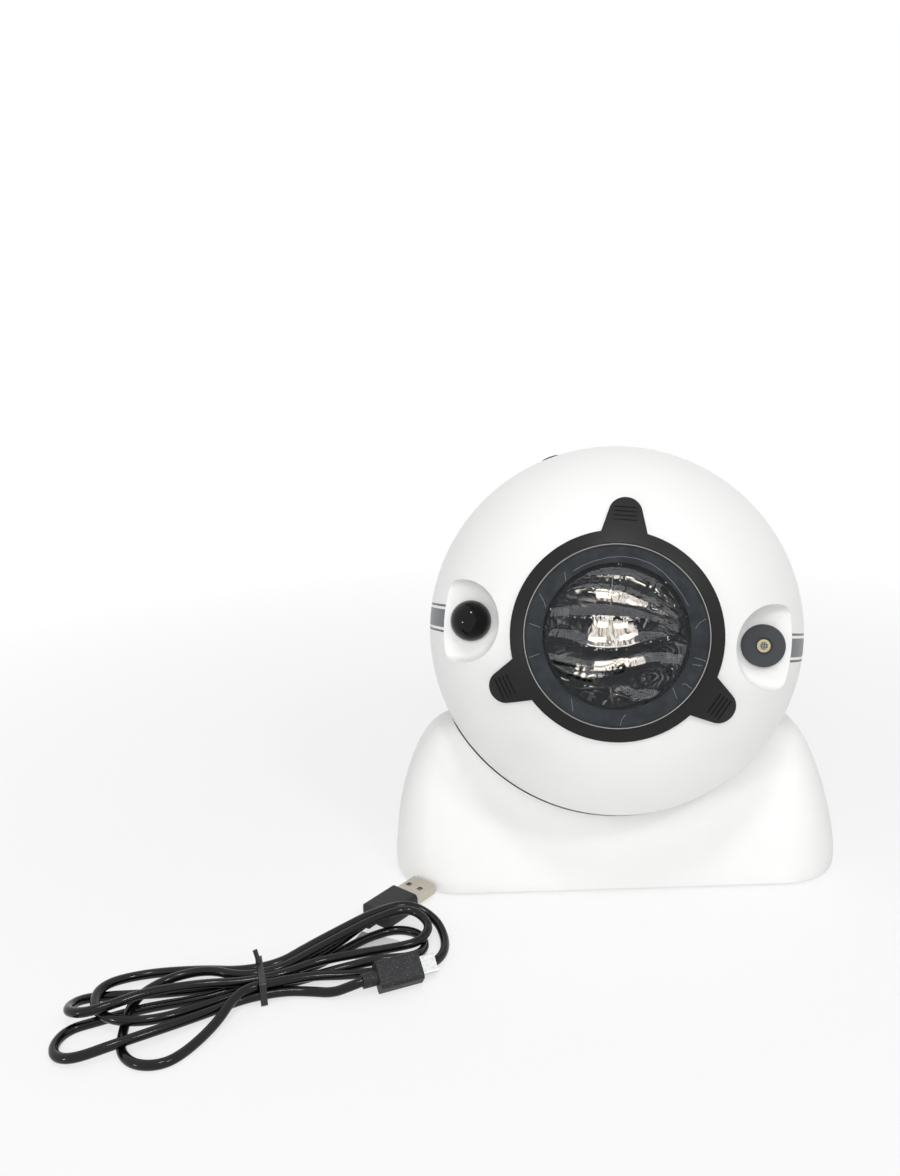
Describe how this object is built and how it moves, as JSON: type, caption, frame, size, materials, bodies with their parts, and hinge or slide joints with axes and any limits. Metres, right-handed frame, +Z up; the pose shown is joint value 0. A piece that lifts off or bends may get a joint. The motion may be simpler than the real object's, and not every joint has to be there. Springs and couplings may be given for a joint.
{
  "type": "planetarium projector",
  "caption": "Ball-shaped table planetarium projector turning in a saddle base, with a tabbed focus ring, a wavy lens, eye-like side ports and a bundled power lead.",
  "frame": {"origin": "on the table, at the middle of the underside of the base's foot pad", "axes": "+Z up, -Y towards the front of the base, +X to the right as seen from the front; the lens looks about 8.5 degrees to the left of -Y and 14.6 degrees up"},
  "size_m": [0.3098, 0.2228, 0.184],
  "materials": {
    "white_shell": "satin moulded white plastic",
    "black_ring": "fine matt black plastic",
    "black_button": "matt black plastic",
    "black_barrel": "matt black plastic",
    "clear_lens": "clear moulded plastic with soft waves",
    "clear_disc": "clear rippled plastic",
    "smoked_bezel": "smoked translucent plastic, polished",
    "bright_trim": "bright plated line",
    "mirror_cup": "metallised plastic",
    "sink_metal": "bare extruded aluminium",
    "circuit_board": "green solder mask",
    "lamp_chip": "clear epoxy over yellow phosphor",
    "inner_plastic": "dark grey moulded plastic",
    "motor_case": "plated steel can",
    "gear_plastic": "natural acetal",
    "steel": "zinc-plated steel",
    "eye_dome": "deep black polished plastic, passes infra-red",
    "black_epoxy": "black moulded epoxy",
    "eye_cap": "matt dark grey plastic",
    "laser_brass": "turned brass",
    "grating_film": "dark cross-ruled film",
    "flex_film": "amber film circuit",
    "plug_metal": "bright nickel-plated sheet",
    "foot_rubber": "matt black rubber",
    "ballast": "bare iron plate",
    "cord_pvc": "shiny black flexible cord jacket",
    "grip_pvc": "satin black moulded grip",
    "tongue_plastic": "white plastic tongue",
    "tie_wire": "black plastic-covered wire",
    "flag_paper": "blank white paper label, folded over"
  },
  "bodies": {
    "base": {"base_shell": "white_shell", "base_cover": "white_shell", "base_screws": "steel", "foot_pad": "foot_rubber", "base_weight": "ballast", "usb_a_shell": "plug_metal", "usb_a_tongue": "tongue_plastic", "usb_a_grip": "grip_pvc", "micro_shell": "plug_metal", "micro_grip": "grip_pvc", "lead_hank": "cord_pvc", "cable_tie": "tie_wire", "lead_flag": "flag_paper"},
    "seat_ring": {"seat_ring": "foot_rubber"},
    "ball": {"front_shell": "white_shell", "rear_shell": "white_shell", "shell_screws": "steel", "light_tube": "black_barrel", "tube_screws": "steel", "condenser_lens": "clear_lens", "heat_sink": "sink_metal", "led_board": "circuit_board", "led_chips": "lamp_chip", "reflector": "mirror_cup", "motor_bracket": "inner_plastic", "disc_motor": "motor_case", "ir_dome": "eye_dome", "ir_receiver": "black_epoxy", "ir_board": "circuit_board", "laser_cap": "eye_cap", "laser_module": "laser_brass", "star_grating": "grating_film", "chassis": "inner_plastic", "main_board": "circuit_board", "board_screws": "steel", "button_flex": "flex_film", "button_switches": "black_epoxy", "inlet_board": "circuit_board", "usb_socket": "plug_metal"},
    "focus_ring": {"focus_ring": "black_ring"},
    "lens": {"lens_barrel": "black_barrel", "front_lens": "clear_lens", "lens_bezel": "smoked_bezel", "trim_ring": "bright_trim"},
    "ripple_disc": {"ripple_disc": "clear_disc"},
    "pinion": {"motor_pinion": "gear_plastic", "motor_shaft": "steel"},
    "button_power": {"button_power": "black_button"},
    "button_stars": {"button_stars": "black_button"},
    "button_clouds": {"button_clouds": "black_button"},
    "button_timer": {"button_timer": "black_button"}
  },
  "joints": [
    {"name": "ball_pan", "type": "hinge", "parent": "base", "child": "seat_ring", "pos_m": [0, 0, 0.104], "axis": [0, 0, 1], "range_deg": [-45, 58]},
    {"name": "ball_tilt", "type": "hinge", "parent": "seat_ring", "child": "ball", "pos_m": [0, 0, 0.104], "axis": [-0.989, 0.1478, 0], "range_deg": [-14, 60]},
    {"name": "focus_turn", "type": "hinge", "parent": "ball", "child": "focus_ring", "pos_m": [-0.01001, -0.067, 0.12165], "axis": [-0.143, -0.9571, 0.2521], "range_deg": [-40, 40]},
    {"name": "lens_slide", "type": "slide", "parent": "ball", "child": "lens", "axis": [-0.143, -0.9571, 0.2521], "range_m": [-0.0016, 0.0016]},
    {"name": "ripple_spin", "type": "hinge", "parent": "ball", "child": "ripple_disc", "pos_m": [-0.00815, -0.05455, 0.11837], "axis": [-0.143, -0.9571, 0.2521], "continuous": true},
    {"name": "pinion_spin", "type": "hinge", "parent": "ball", "child": "pinion", "pos_m": [-0.01226, -0.06347, 0.08218], "axis": [-0.143, -0.9571, 0.2521], "continuous": true},
    {"name": "power_press", "type": "slide", "parent": "ball", "child": "button_power", "axis": [0.2875, -0.3605, -0.8874], "range_m": [0, 0.0008], "stiffness_N_per_m": 1500, "springref_m": -0.0004},
    {"name": "stars_press", "type": "slide", "parent": "ball", "child": "button_stars", "axis": [0.2446, -0.5535, -0.7961], "range_m": [0, 0.0008], "stiffness_N_per_m": 1500, "springref_m": -0.0004},
    {"name": "clouds_press", "type": "slide", "parent": "ball", "child": "button_clouds", "axis": [0.1902, -0.7202, -0.6672], "range_m": [0, 0.0008], "stiffness_N_per_m": 1500, "springref_m": -0.0004},
    {"name": "timer_press", "type": "slide", "parent": "ball", "child": "button_timer", "axis": [0.1267, -0.8528, -0.5066], "range_m": [0, 0.0008], "stiffness_N_per_m": 1500, "springref_m": -0.0004}
  ],
  "couplings": [
    {"joint": "lens_slide", "follows": "focus_turn", "m_per_rad": 0.0021486},
    {"joint": "pinion_spin", "follows": "ripple_spin", "ratio": -4}
  ]
}
